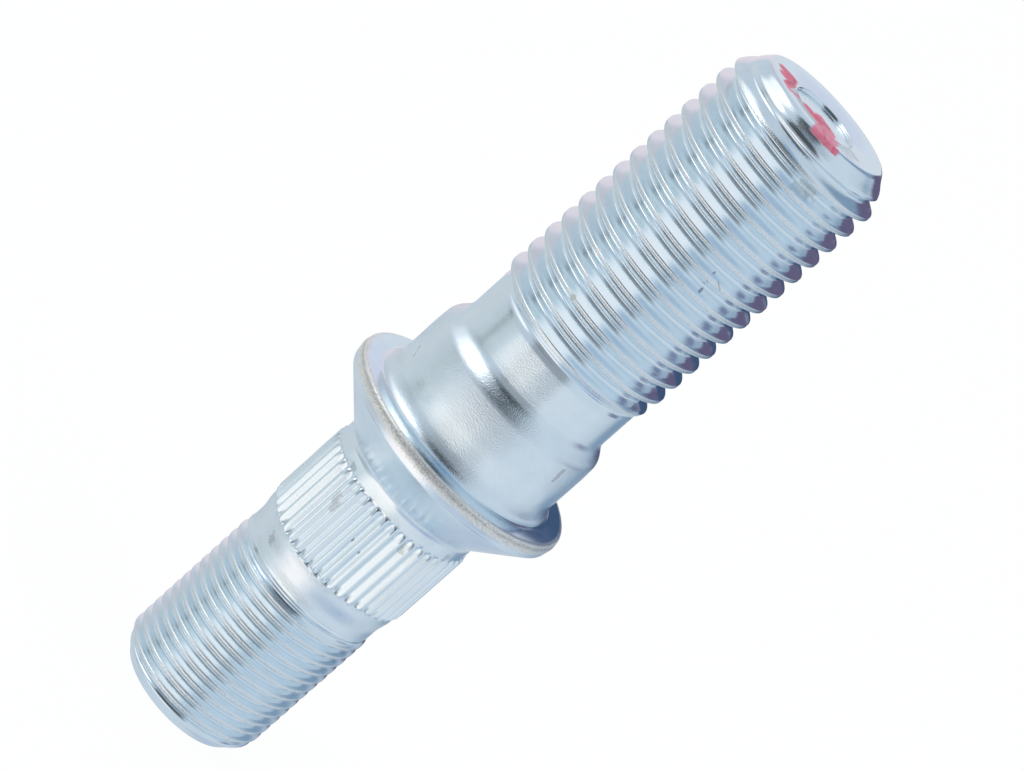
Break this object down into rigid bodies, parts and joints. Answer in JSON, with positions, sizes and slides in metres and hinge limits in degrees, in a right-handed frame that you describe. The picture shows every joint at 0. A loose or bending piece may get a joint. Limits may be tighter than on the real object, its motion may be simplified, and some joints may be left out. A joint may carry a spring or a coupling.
{
  "type": "double-ended wheel bolt",
  "caption": "Double-ended wheel bolt with a serrated press-fit neck, a conical collar, a plain centring spigot and two rolled threads.",
  "frame": {"origin": "centre of the flat end of the fine hub thread, which the bolt stands on", "axes": "+Z along the bolt, from the fine hub thread towards the coarse wheel-nut thread; -Y is the side from which both thread starts are measured"},
  "size_m": [0.0302, 0.0302, 0.098],
  "materials": {
    "zinc_plated_steel": "bright blue-white zinc plating on forged and thread-rolled steel, satin, burnished on the thread crests"
  },
  "bodies": {
    "root": {"wheel_stud": "zinc_plated_steel"}
  },
  "joints": []
}
